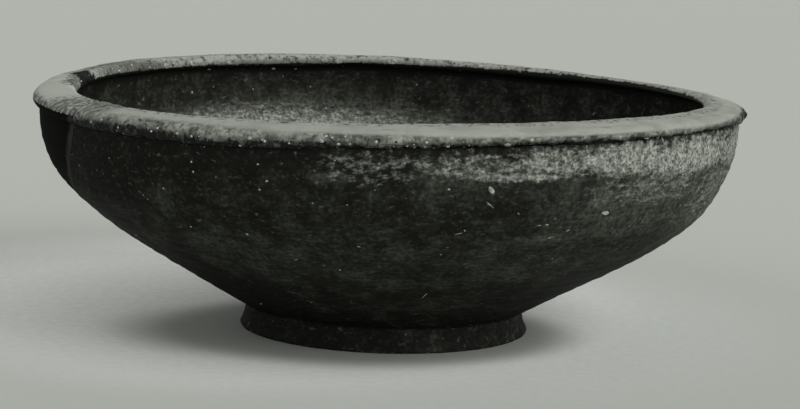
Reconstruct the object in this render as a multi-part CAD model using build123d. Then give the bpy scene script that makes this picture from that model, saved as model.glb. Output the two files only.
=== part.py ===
from build123d import *
import os
from math import cos, radians, sin

# A deep footed bowl of wheel-thrown, slipped earthenware. Lengths in millimetres, angles in degrees.
# Origin at the centre of the foot's standing face, +Z up, -Y towards the viewer, restored side at -X.

# Foot ring: thrown apart from the bowl and luted under its floor
foot_radius = 45.0
foot_neck_radius = 43.4
foot_height = 7.0
foot_seat_width = 6.9
foot_face_width = 4.2
foot_outer_edge = 0.8
foot_inner_edge = 1.2

# Bowl: one thrown piece, with a flat floor and a wall that rises as a cone and turns upright
floor_thickness = 6.0
ring_key_depth = 0.8
neck_rise = 1.6
wall_foot_radius = 46.0
wall_radius = 108.0
wall_height = 67.2
wall_rise_angle = 31.0
wall_thickness = 6.2
cone_length = 40.3
shoulder_length = 27.4
floor_corner_radius = 12.0

# Joint between wall and rim: the wall's top is drawn up into a tongue that the rim is pressed over
joint_rise = 1.8
joint_inset = 0.3
tongue_height = 2.6
tongue_foot_width = 3.2
tongue_top_width = 2.0

# Rim: a thick roll, wider than the wall on both sides, with a top that slopes outwards
rim_height = 6.6
rim_overhang_out = 2.0
rim_overhang_in = 4.6
rim_tip_drop = 4.3
rim_lip_drop = 2.4
rim_crest_inset = 10.8
rim_edge_radius = 3.2
rim_slope_angle = 15.0

# Restored section: a sherd broken out of wall and rim between two flat faces that meet in a low tip,
# made up again in plaster with its bonding layer.
# Turns are counted from -X, those to the viewer's side first.
break_near_turn = 33.0
break_far_turn = 11.0
break_tip_turn = 18.0
break_tip_inset = 12.0
break_tip_drop = 29.0
break_focus_turn = 21.5
break_focus_inset = 23.4
break_focus_rise = 12.2
bond_thickness = 0.5

# How far the neck's curve runs on upright before it turns into the wall, as a share of its rise
neck_up_share = 0.55

# Places worked out from the sizes above
foot_seat_radius = foot_neck_radius - foot_seat_width
floor_under_height = foot_height - ring_key_depth
floor_top_height = floor_under_height + floor_thickness
wall_foot_height = foot_height + neck_rise
inner_radius = wall_radius - wall_thickness
inner_start_radius = wall_foot_radius - wall_thickness * sin(radians(wall_rise_angle))
floor_corner_run = floor_corner_radius * sin(radians(wall_rise_angle))
floor_corner_rise = floor_corner_radius * (1 - cos(radians(wall_rise_angle)))
inner_start_height = floor_top_height + floor_corner_rise
inner_share = (inner_radius - inner_start_radius) / (wall_radius - wall_foot_radius)
joint_height = wall_height + joint_rise
joint_outer_radius = wall_radius - joint_inset
joint_middle_radius = (joint_outer_radius + inner_radius) / 2
rim_crest_height = joint_height + rim_height
rim_tip_radius = wall_radius + rim_overhang_out
rim_tip_height = rim_crest_height - rim_tip_drop
rim_lip_radius = inner_radius - rim_overhang_in
rim_lip_height = rim_crest_height - rim_lip_drop
rim_crest_radius = rim_tip_radius - rim_crest_inset


def turned(*edges):
    """Closes the edges into a section of radius and height, and turns it round the bowl's axis."""
    section = make_face(Plane.XZ * Curve(children=list(edges)))
    return revolve(section, Axis.Z)


def wall_curve(start, end, low_pull, high_pull):
    """A wall line that leaves start at the wall's rise angle and comes upright at end."""
    rise = radians(wall_rise_angle)
    low = (start[0] + low_pull * cos(rise), start[1] + low_pull * sin(rise))
    high = (end[0], end[1] - high_pull)
    return Bezier(start, low, high, end)


def tongue_points():
    """The tongue on the wall's top edge, from its outer foot to its inner foot."""
    foot = tongue_foot_width / 2
    top = tongue_top_width / 2
    return [
        (joint_middle_radius + foot, joint_height),
        (joint_middle_radius + top, joint_height + tongue_height),
        (joint_middle_radius - top, joint_height + tongue_height),
        (joint_middle_radius - foot, joint_height),
    ]


def bowl_body():
    """Floor and wall in one thrown piece, with a boss that centres the foot ring."""
    under = Polyline(
        (0, floor_top_height),
        (0, floor_under_height),
        (foot_seat_radius, floor_under_height),
        (foot_seat_radius, foot_height),
        (foot_neck_radius, foot_height),
    )
    neck_turn = (foot_neck_radius, foot_height + neck_up_share * neck_rise)
    neck = Bezier((foot_neck_radius, foot_height), neck_turn, (wall_foot_radius, wall_foot_height))
    outside = wall_curve(
        (wall_foot_radius, wall_foot_height),
        (wall_radius, wall_height),
        cone_length,
        shoulder_length,
    )
    top = Polyline(
        (wall_radius, wall_height),
        (joint_outer_radius, joint_height),
        *tongue_points(),
        (inner_radius, joint_height),
        (inner_radius, wall_height),
    )
    inside = wall_curve(
        (inner_start_radius, inner_start_height),
        (inner_radius, wall_height),
        cone_length * inner_share,
        shoulder_length * inner_share,
    )
    floor_edge = (inner_start_radius - floor_corner_run, floor_top_height)
    corner = TangentArc(floor_edge, (inner_start_radius, inner_start_height), tangent=(1, 0))
    floor = Line((0, floor_top_height), floor_edge)
    return turned(under, neck, outside, top, inside, corner, floor)


def foot_ring():
    """The ring that the bowl stands on: a flared outer face, eased edges and a flat standing face."""
    face_outer = foot_radius - foot_outer_edge
    face_inner = face_outer - foot_face_width
    recess_radius = face_inner - foot_inner_edge
    edge = Bezier((foot_radius, foot_outer_edge), (foot_radius, 0), (face_outer, 0))
    inner_edge = Bezier((face_inner, 0), (recess_radius, 0), (recess_radius, foot_inner_edge))
    waist = (foot_neck_radius, foot_height - foot_height / 2)
    outer = Bezier((foot_neck_radius, foot_height), waist, (foot_radius, foot_outer_edge))
    face = Line((face_outer, 0), (face_inner, 0))
    back = Polyline(
        (recess_radius, foot_inner_edge),
        (foot_seat_radius, foot_height),
        (foot_neck_radius, foot_height),
    )
    return turned(outer, edge, face, inner_edge, back)


def rim_roll():
    """The rolled rim, grooved underneath to sit over the wall's tongue."""
    joint_out = (joint_outer_radius, joint_height)
    joint_in = (inner_radius, joint_height)
    tip = (rim_tip_radius, rim_tip_height)
    crest = (rim_crest_radius, rim_crest_height)
    lip = (rim_lip_radius, rim_lip_height)
    bend = ((rim_lip_radius + inner_radius) / 2, (rim_lip_height + joint_height) / 2)
    slope = radians(rim_slope_angle)
    edge_middle = (rim_tip_radius - rim_edge_radius, rim_tip_height)
    shoulder = (edge_middle[0] + rim_edge_radius * sin(slope), edge_middle[1] + rim_edge_radius * cos(slope))
    under = TangentArc(tip, joint_out, tangent=(0, -1))
    edge = TangentArc(tip, shoulder, tangent=(0, 1))
    top = TangentArc(shoulder, crest, tangent=(-cos(slope), sin(slope)))
    inner_edge = TangentArc(lip, crest, tangent=(0, 1))
    inner_under = TangentArc(lip, bend, tangent=(0, -1))
    inner_foot = TangentArc(joint_in, bend, tangent=(0, 1))
    groove = Polyline(joint_in, *reversed(tongue_points()), joint_out)
    return turned(under, edge, top, inner_edge, inner_under, inner_foot, groove)


def left_point(radius, turn, height):
    """A point at this turn from -X, towards the viewer for a positive turn."""
    return Vector(-radius * cos(radians(turn)), -radius * sin(radians(turn)), height)


def sherd_block(gap):
    """All that lies outside the two break faces, both moved into the lost sherd by this gap."""
    focus_radius = wall_radius - break_focus_inset
    focus = left_point(focus_radius, break_focus_turn, joint_height + break_focus_rise)
    tip = left_point(wall_radius - break_tip_inset, break_tip_turn, joint_height - break_tip_drop) - focus
    near = left_point(wall_radius, break_near_turn, joint_height) - focus
    far = left_point(wall_radius, -break_far_turn, joint_height) - focus
    reach = rim_tip_radius * 4
    seat = (Align.CENTER, Align.CENTER, Align.MIN)
    block = Pos(0, 0, gap) * Box(reach, reach, reach, align=seat)
    near_half = Plane(origin=focus, z_dir=tip.cross(near)) * block
    far_half = Plane(origin=focus, z_dir=far.cross(tip)) * block
    return near_half & far_half


def build():
    """The finished pieces by node name, all in the bowl's own frame."""
    body = bowl_body()
    rim = rim_roll()
    whole_lip = body + rim
    lost = sherd_block(-bond_thickness / 2)
    filled = sherd_block(bond_thickness / 2)
    return {
        "foot_ring": foot_ring(),
        "bowl_body": body - lost,
        "rim_roll": rim - lost,
        "plaster_fill": whole_lip & filled,
        "break_bond": (whole_lip & lost) - filled,
    }


os.makedirs("parts", exist_ok=True)
for name, piece in build().items():
    export_step(piece, f"parts/{name}.step")
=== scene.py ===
"""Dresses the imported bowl: a wheel-thrown footed bowl in near-black slip, with a limed rolled rim.

Sizes are in millimetres and angles in degrees unless a name says otherwise. The origin is at the
centre of the foot's standing face, +Z is up and -Y faces the viewer. A turn is counted round the
Z axis from +X, so the viewer's side is at -90 and the restored side at 180.
"""

import logging
import math
import random
from collections.abc import Callable, Iterator
from contextlib import contextmanager
from dataclasses import dataclass
from enum import Enum

import bpy
import numpy as np
from mathutils import Matrix, Quaternion, Vector


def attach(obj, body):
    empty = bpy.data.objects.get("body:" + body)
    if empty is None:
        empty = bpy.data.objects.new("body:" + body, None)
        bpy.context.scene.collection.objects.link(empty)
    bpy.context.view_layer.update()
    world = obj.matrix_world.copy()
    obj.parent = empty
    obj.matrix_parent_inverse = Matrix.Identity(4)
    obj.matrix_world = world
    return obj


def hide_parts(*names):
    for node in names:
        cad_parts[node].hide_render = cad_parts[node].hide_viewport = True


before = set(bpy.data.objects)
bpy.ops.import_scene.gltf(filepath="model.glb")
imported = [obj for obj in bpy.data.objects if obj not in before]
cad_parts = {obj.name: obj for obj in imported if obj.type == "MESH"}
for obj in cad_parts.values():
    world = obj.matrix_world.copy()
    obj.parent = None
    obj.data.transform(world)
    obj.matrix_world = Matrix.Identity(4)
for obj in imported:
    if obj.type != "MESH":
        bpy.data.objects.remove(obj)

MM = 0.001
BODY = "root"
SMOOTH_ANGLE = 40  # Faces that meet at less are shaded as one
WEIGHT_STEPS = 40  # The steps in which a modifier's weights are stored
log = logging.getLogger("bowl")

Point = tuple[float, float]
Place = tuple[float, float, float]
Piece = bpy.types.Object
Socket = bpy.types.NodeSocket
Test = Callable[[np.ndarray], np.ndarray]


class Side(Enum):
    """How far a rough cutter ends from the bond's middle: on the clay's side or on the fill's."""

    CLAY = -0.25
    FILL = 0.25


class Grain(Enum):
    """Noise that roughens a surface: soft swells, rolling lumps or pebbles."""

    SWELL = "BLENDER_ORIGINAL"
    ROLL = "IMPROVED_PERLIN"
    PEBBLE = "VORONOI_F1"


# Small tools for meshes


def activate(*pieces: Piece) -> None:
    """Selects some pieces alone, and makes the first one active.

    Args:
        pieces: The pieces that the next operator acts on.
    """
    bpy.ops.object.select_all(action="DESELECT")
    for piece in pieces:
        piece.select_set(True)
    bpy.context.view_layer.objects.active = pieces[0]


@contextmanager
def editing(piece: Piece) -> Iterator[None]:
    """Opens a piece in edit mode with all of it selected, and closes it again.

    Args:
        piece: The piece.

    Yields:
        Nothing, while the piece is open.
    """
    activate(piece)
    bpy.ops.object.mode_set(mode="EDIT")
    bpy.ops.mesh.select_all(action="SELECT")
    yield
    bpy.ops.object.mode_set(mode="OBJECT")


def name_piece(piece: Piece, name: str) -> Piece:
    """Gives a piece and its mesh one name, and returns the piece."""
    piece.name = piece.data.name = name
    return piece


def join(pieces: list[Piece], name: str) -> Piece:
    """Joins pieces into one.

    Args:
        pieces: The pieces.
        name: The joined piece's name.

    Returns:
        The joined piece.
    """
    activate(*pieces)
    bpy.ops.object.join()
    return name_piece(pieces[0], name)


def remove(*pieces: Piece) -> None:
    """Deletes helper pieces together with their meshes."""
    for piece in pieces:
        bpy.data.meshes.remove(piece.data)


def axes_at(place: Vector, *axes: Vector) -> Matrix:
    """The matrix that moves an object to a place and turns it to three axes."""
    return Matrix.Translation(place) @ Matrix(axes).transposed().to_4x4()


def points_mm(piece: Piece) -> np.ndarray:
    """Reads a mesh's points.

    Args:
        piece: The piece, with its place in its mesh.

    Returns:
        An array of points in millimetres, one row each.
    """
    found = np.zeros(len(piece.data.vertices) * 3)
    piece.data.vertices.foreach_get("co", found)
    return found.reshape(-1, 3) / MM


def turn_of(points: np.ndarray) -> np.ndarray:
    """The turn of each point round the axis, in degrees."""
    return np.degrees(np.arctan2(points[:, 1], points[:, 0]))


def radius_of(points: np.ndarray) -> np.ndarray:
    """The distance of each point from the axis, in millimetres."""
    return np.hypot(points[:, 0], points[:, 1])


def ease(value: np.ndarray, low: float, high: float) -> np.ndarray:
    """A smooth step from 0 at low to 1 at high, which may be the smaller one."""
    share = np.clip((value - low) / (high - low), 0, 1)
    return share * share * (3 - 2 * share)


def paint(piece: Piece, **maps: np.ndarray) -> None:
    """Stores values for each point, which a material reads as attributes.

    Args:
        piece: The piece.
        maps: The values, by the attribute's name.
    """
    for name, values in maps.items():
        layer = piece.data.attributes.new(name, "FLOAT", "POINT")
        layer.data.foreach_set("value", values.astype(np.float32))


def apply_modifier(
    piece: Piece, kind: str, weights: np.ndarray | None = None, **settings: object
) -> None:
    """Adds a modifier with its settings and applies it.

    Args:
        piece: The piece.
        kind: Blender's name for its kind.
        weights: How far it acts on each point, from 0 to 1, or None to act fully on all.
        settings: Its properties.
    """
    activate(piece)
    added = piece.modifiers.new(kind.title(), kind)
    if weights is not None:
        group = piece.vertex_groups.new(name="weights")
        levels = np.rint(np.clip(weights, 0, 1) * WEIGHT_STEPS).astype(int)
        for level in np.unique(levels[levels > 0]):
            group.add(np.flatnonzero(levels == level).tolist(), level / WEIGHT_STEPS, "REPLACE")
        added.vertex_group = group.name
    for key, value in settings.items():
        setattr(added, key, value)
    bpy.ops.object.modifier_apply(modifier=added.name)
    piece.vertex_groups.clear()


def roughen(
    piece: Piece,
    grain: Grain,
    size: float,
    depth: float,
    weights: np.ndarray | None = None,
    detail: int = 2,
) -> None:
    """Pushes a surface in and out by noise.

    Args:
        piece: The piece.
        grain: The kind of noise.
        size: How wide its swells or lumps are.
        depth: How far the surface moves between its lowest and highest points.
        weights: How far each point takes part, from 0 to 1, or None for all.
        detail: How many finer layers the noise has.
    """
    noise = bpy.data.textures.new("grain", "CLOUDS")
    noise.noise_basis, noise.noise_scale, noise.noise_depth = grain.value, size * MM, detail
    pushed = {"texture": noise, "texture_coords": "LOCAL", "strength": depth * MM}
    apply_modifier(piece, "DISPLACE", weights, **pushed)
    bpy.data.textures.remove(noise)


def refine(piece: Piece, test: Test, cuts: int = 2) -> None:
    """Subdivides the faces whose centres pass a test.

    Args:
        piece: The piece.
        test: Takes centres in millimetres and says which faces are wanted.
        cuts: Cuts across each face.
    """
    with editing(piece):
        bpy.ops.mesh.select_mode(type="FACE")
        bpy.ops.mesh.select_all(action="DESELECT")
    centres = np.zeros(len(piece.data.polygons) * 3)
    piece.data.polygons.foreach_get("center", centres)
    piece.data.polygons.foreach_set("select", test(centres.reshape(-1, 3) / MM))
    bpy.ops.object.mode_set(mode="EDIT")
    bpy.ops.mesh.subdivide(number_cuts=cuts)
    bpy.ops.object.mode_set(mode="OBJECT")


def clean(piece: Piece, gap: float = 0.002) -> None:
    """Merges doubled points and turns every face outwards.

    Args:
        piece: The piece.
        gap: Points nearer than this are one point.
    """
    with editing(piece):
        bpy.ops.mesh.remove_doubles(threshold=gap * MM)
        bpy.ops.mesh.normals_make_consistent(inside=False)


def cut(piece: Piece, tool: Piece, operation: str) -> None:
    """Cuts a piece by DIFFERENCE or INTERSECT with a closed solid that stays as it is."""
    apply_modifier(piece, "BOOLEAN", object=tool, operation=operation, solver="EXACT")
    clean(piece)


def finish_piece(piece: Piece, material: bpy.types.Material, slot: str, *nodes: str) -> None:
    """Smooths and dresses a finished piece and hides the CAD nodes that it replaces.

    Args:
        piece: The piece.
        material: Its finish.
        slot: Not used.
        nodes: The CAD nodes that it replaces.
    """
    activate(piece)
    bpy.ops.object.shade_smooth_by_angle(angle=math.radians(SMOOTH_ANGLE))
    piece.data.materials.clear()
    piece.data.materials.append(material)
    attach(piece, BODY)
    if nodes:
        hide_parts(*nodes)
    piece.data.calc_loop_triangles()
    log.info("%s: %d triangles, %s", piece.name, len(piece.data.loop_triangles), material.name)


# Sections and turning


@dataclass(frozen=True)
class Ridges:
    """Finger ridges that throwing leaves round a wall.

    Attributes:
        depth: How far they stand out at most.
        spacing: The distance from ridge to ridge.
        seed: Chooses their uneven run.
        waves: The share and the stretch of each wave in them.
        fade: How sharply they die out towards both ends.
    """

    depth: float
    spacing: float
    seed: int
    waves: tuple[Point, ...] = ((0.5, 1.0), (0.3, 0.58), (0.2, 1.73))
    fade: float = 0.3

    def push(self, run: float) -> float:
        """Says how far the surface stands out.

        Args:
            run: The length of section before this place.

        Returns:
            The height above the plain wall.
        """
        chance = random.Random(self.seed)
        total = 0.0
        for share, stretch in self.waves:
            phase = chance.uniform(0, 6.28)
            total += share * math.sin(2 * math.pi * run / (self.spacing * stretch) + phase)
        return self.depth * total


@dataclass
class Section:
    """Half of a turned piece's section, drawn as (radius, height) with the clay on its right.

    Attributes:
        points: The points so far.
    """

    points: list[Point]

    def run(self, *ends: Point, step: float) -> "Section":
        """Adds straight runs.

        Args:
            ends: The end of each run.
            step: The longest distance between two points.

        Returns:
            The same section.
        """
        for end in ends:
            start = self.points[-1]
            count = max(1, math.ceil(math.dist(start, end) / step))
            for share in (index / count for index in range(1, count + 1)):
                self.points.append(tuple(a + (b - a) * share for a, b in zip(start, end)))
        return self

    def curve(self, *pulls: Point, step: float, ridges: Ridges | None = None) -> "Section":
        """Adds a Bezier curve from the last point.

        Args:
            pulls: Its control points and its end.
            step: The distance between two points, about.
            ridges: Ridges on its surface, which fade out towards both ends.

        Returns:
            The same section.
        """
        control = [self.points[-1], *pulls]
        length = sum(math.dist(a, b) for a, b in zip(control, control[1:]))
        count = max(3, math.ceil(length / step))
        order = len(control) - 1
        before = self.points[-1]
        for index in range(1, count + 1):
            t = index / count
            shares = [math.comb(order, k) * t**k * (1 - t) ** (order - k) for k in range(order + 1)]
            r, z = (sum(s * p[axis] for s, p in zip(shares, control)) for axis in (0, 1))
            if ridges and index < count:
                across, rise = r - before[0], z - before[1]
                along = math.hypot(across, rise)
                push = ridges.push(t * length) * math.sin(math.pi * t) ** ridges.fade
                before = (r, z)
                r, z = r - push * rise / along, z + push * across / along
            self.points.append((r, z))
        return self

    def arc(self, end: Point, tangent: Point, step: float, at_end: bool = False) -> "Section":
        """Adds a circular arc.

        Args:
            end: Where the arc ends.
            tangent: Its direction at one end, of length 1.
            step: The distance between two points, about.
            at_end: Whether that is its direction at the end, and not at the start.

        Returns:
            The same section.
        """
        start = self.points[-1]
        chord = (end[0] - start[0], end[1] - start[1])
        square = chord[0] ** 2 + chord[1] ** 2
        if at_end:
            share = 2 * (chord[0] * tangent[0] + chord[1] * tangent[1]) / square
            tangent = (share * chord[0] - tangent[0], share * chord[1] - tangent[1])
        normal = (-tangent[1], tangent[0])
        radius = square / (2 * (chord[0] * normal[0] + chord[1] * normal[1]))
        centre = (start[0] + normal[0] * radius, start[1] + normal[1] * radius)
        first, last = (math.atan2(p[1] - centre[1], p[0] - centre[0]) for p in (start, end))
        sweep = (last - first) % math.tau if radius > 0 else -((first - last) % math.tau)
        count = max(3, math.ceil(abs(sweep * radius) / step))
        for angle in (first + sweep * index / count for index in range(1, count + 1)):
            east, up = abs(radius) * math.cos(angle), abs(radius) * math.sin(angle)
            self.points.append((centre[0] + east, centre[1] + up))
        return self

    def turned(self, name: str, steps: int, sweep: float = 360, start: float = 0) -> Piece:
        """Extrudes one point along the section, and spins it round the axis.

        Args:
            name: The piece's name.
            steps: Faces round the whole sweep.
            sweep: How far it is turned.
            start: The turn at which it starts.

        Returns:
            The turned piece, a closed solid.
        """
        first = self.points[0]
        bpy.ops.mesh.primitive_plane_add(size=MM, location=(first[0] * MM, 0, first[1] * MM))
        made = name_piece(bpy.context.object, name)
        bpy.ops.object.transform_apply()
        with editing(made):
            bpy.ops.mesh.select_mode(type="VERT")
            bpy.ops.mesh.merge(type="CENTER")
            for before, after in zip(self.points, self.points[1:]):
                step = ((after[0] - before[0]) * MM, 0, (after[1] - before[1]) * MM)
                bpy.ops.mesh.extrude_region_move(TRANSFORM_OT_translate={"value": step})
            bpy.ops.mesh.select_all(action="SELECT")
            bpy.ops.mesh.remove_doubles(threshold=0.0005 * MM)
            bpy.ops.mesh.spin(steps=steps, angle=-math.radians(sweep), center=(0, 0, 0), axis=(0, 0, 1))
            if sweep < 360:
                bpy.ops.mesh.select_all(action="SELECT")
                bpy.ops.mesh.fill_holes(sides=0)
        made.rotation_euler.z = math.radians(start)
        bpy.ops.object.transform_apply()
        clean(made)
        return made


@dataclass(frozen=True)
class Warp:
    """How far the thrown bowl is from true: its lip dried to a slight saddle, and its wall leans.

    Attributes:
        rise: How far the saddle stands above or below level, at most.
        lip_radius: Where it does so.
        saddle_zone: The heights at which the saddle starts and is full.
        droop: How far the rim's crest sinks at its left and right ends.
        crest_zone: The heights at which that starts and is full.
        lean: How far the lower wall stands towards +X.
        lean_height: Where it leans most.
        lean_zone: How far above and below that the lean dies out and is full.
        east_gain: How much more it leans at its right end.
        east_zone: How far round from +X that starts and is full.
        climb: How far the joint under the rim climbs from left to right, in two rises.
        climb_runs: Where along X each rise starts and ends.
        climb_left: How much of the climb is left at the right end.
        climb_fade: Where along X that is so, and where the climb is full.
        climb_zones: The heights between which it comes in, from below and from above.
        uneven: How far the surface swells and sinks.
        swell_width: How wide those swells are.
    """

    rise: float = 1.3
    lip_radius: float = 108.0
    saddle_zone: Point = (20.0, 68.0)
    droop: float = 1.15
    crest_zone: Point = (68.0, 75.0)
    lean: float = 1.1
    lean_height: float = 33.0
    lean_zone: Point = (20.0, 4.0)
    east_gain: float = 0.8
    east_zone: Point = (60.0, 20.0)
    climb: tuple[float, float] = (1.0, 0.4)
    climb_runs: tuple[Point, Point] = ((-36, -10), (45, 85))
    climb_left: float = 0.35
    climb_fade: Point = (112.0, 96.0)
    climb_zones: tuple[Point, Point] = ((58.0, 68.0), (75.0, 71.0))
    uneven: float = 0.5
    swell_width: float = 26.0

    def bend(self, piece: Piece) -> None:
        """Bends a piece as the drying bowl was bent, and makes its surface uneven.

        Args:
            piece: The piece, whose points get their weights by their places.
        """
        points = points_mm(piece)
        height = points[:, 2]
        low, high = self.saddle_zone
        twist = -2 * self.rise / self.lip_radius**2 * np.ptp(points[:, 0])
        saddle = {"deform_method": "TWIST", "deform_axis": "X", "angle": twist}
        apply_modifier(piece, "SIMPLE_DEFORM", (height - low) / (high - low), **saddle)
        gain = 1 + self.east_gain
        start, full = self.east_zone
        side = 1 + self.east_gain * ease(turn_of(points) ** 2, start**2, full**2)
        leaning = ease(np.abs(height - self.lean_height), *self.lean_zone) * side / gain
        ends = (points[:, 0] / self.lip_radius) ** 2 * ease(height, *self.crest_zone)
        total = sum(self.climb)
        for axis, reach, weights in (
            ("Z", -self.droop, ends),
            ("X", self.lean * gain, leaning),
            ("Z", total, self.climbed(points) / total),
        ):
            shift = {"direction": axis, "strength": reach * MM, "mid_level": 0.0}
            apply_modifier(piece, "DISPLACE", weights, **shift)
        roughen(piece, Grain.SWELL, self.swell_width, self.uneven, detail=1)

    def climbed(self, points: np.ndarray) -> np.ndarray:
        """Says how far the joint's climb has moved points up.

        Args:
            points: Points in millimetres.

        Returns:
            One height for each.
        """
        east, height = points[:, 0], points[:, 2]
        rises = sum(rise * ease(east, *run) for rise, run in zip(self.climb, self.climb_runs))
        rises = rises * (self.climb_left + (1 - self.climb_left) * ease(east, *self.climb_fade))
        below, above = self.climb_zones
        return rises * ease(height, *below) * ease(height, *above)


# Patches of deposit and wear


@dataclass(frozen=True)
class Patch:
    """A soft-edged oval on a turned surface.

    Attributes:
        turn: Its middle round the axis.
        height: Its middle above the standing face.
        half_turn: Half its width, in degrees.
        half_height: Half its height.
        strength: Its weight in the middle.
    """

    turn: float
    height: float
    half_turn: float
    half_height: float
    strength: float

    def weight(self, points: np.ndarray) -> np.ndarray:
        """Weighs the patch.

        Args:
            points: Points in millimetres.

        Returns:
            Its weight at each point.
        """
        away = (turn_of(points) - self.turn + 180) % 360 - 180
        reach = np.hypot(away / self.half_turn, (points[:, 2] - self.height) / self.half_height)
        return self.strength * ease(reach, 1.0, 0.25)


Patches = tuple[Patch, ...]


def lay(patches: Patches, points: np.ndarray) -> np.ndarray:
    """The strongest patch's weight at each point."""
    return np.max([patch.weight(points) for patch in patches], axis=0)


def rows_of(kind: type, *rows: tuple[float, ...]) -> tuple:
    """One object of a kind for each row of its fields."""
    return tuple(kind(*row) for row in rows)


# Materials


def linear(hex_colour: str) -> tuple[float, float, float, float]:
    """Turns an sRGB hex colour to the linear red, green, blue and alpha that a shader takes."""
    parts = [int(hex_colour[i : i + 2], 16) / 255 for i in (1, 3, 5)]
    return (*(c / 12.92 if c <= 0.04045 else ((c + 0.055) / 1.055) ** 2.4 for c in parts), 1.0)


class Nodes:
    """The node tree of a material or a world.

    Attributes:
        tree: The tree.
    """

    def __init__(self, owner: bpy.types.Material | bpy.types.World) -> None:
        """Starts an empty tree.

        Args:
            owner: What the tree belongs to.
        """
        owner.use_nodes = True
        self.tree = owner.node_tree
        self.tree.nodes.clear()

    def add(
        self, kind: str, inputs: dict | None = None, out: int | str | None = 0, **settings: object
    ) -> Socket | None:
        """Adds a node with its settings and links.

        Args:
            kind: The node's type name without "ShaderNode".
            inputs: A value or a socket for each input, by its name or number.
            out: The output that is wanted, by its name or number, or None for a node that has none.
            settings: The node's own properties.

        Returns:
            That output's socket, or None.
        """
        made = self.tree.nodes.new(f"ShaderNode{kind}")
        for key, value in settings.items():
            setattr(made, key, value)
        for key, value in (inputs or {}).items():
            if isinstance(value, Socket):
                self.tree.links.new(value, made.inputs[key])
            else:
                made.inputs[key].default_value = value
        return None if out is None else made.outputs[out]


@dataclass(frozen=True)
class Noise:
    """A noise pattern in a finish.

    Attributes:
        size: The size of its largest marks.
        detail: How many finer layers it has.
        roughness: How strong those are.
        along: How much longer marks run round the bowl than they are high, or 0 for even marks.
    """

    size: float
    detail: float
    roughness: float = 0.5
    along: float = 0.0


@dataclass(frozen=True)
class Finish:
    """What all finishes have.

    Attributes:
        name: The material's name.
        base: The colour under all layers.
        matt: The roughness under all layers.
        ior: The index of refraction.
        specular: The shader's specular level.
        painted: The painted attributes that the layers read.
        noises: The patterns that break them up.
    """

    name: str
    base: str
    matt: float
    ior: float
    specular: float
    painted: tuple[str, ...]
    noises: tuple[Noise, ...]

    def lay_on(self, skin: "Skin") -> None:
        """Lays the finish's layers on its surface. Each finish has its own."""
        raise NotImplementedError

    def material(self) -> bpy.types.Material:
        """Builds the material.

        Returns:
            A material that reads the painted attributes.
        """
        skin = Skin(self)
        self.lay_on(skin)
        shader = {"Base Color": skin.colour, "Roughness": skin.roughness}
        shader |= {"IOR": self.ior, "Specular IOR Level": self.specular}
        if isinstance(skin.height, Socket):
            shader["Normal"] = skin.add("Bump", {"Height": skin.height, "Distance": MM})
        skin.add("OutputMaterial", {"Surface": skin.add("BsdfPrincipled", shader)}, out=None)
        return skin.made


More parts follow.
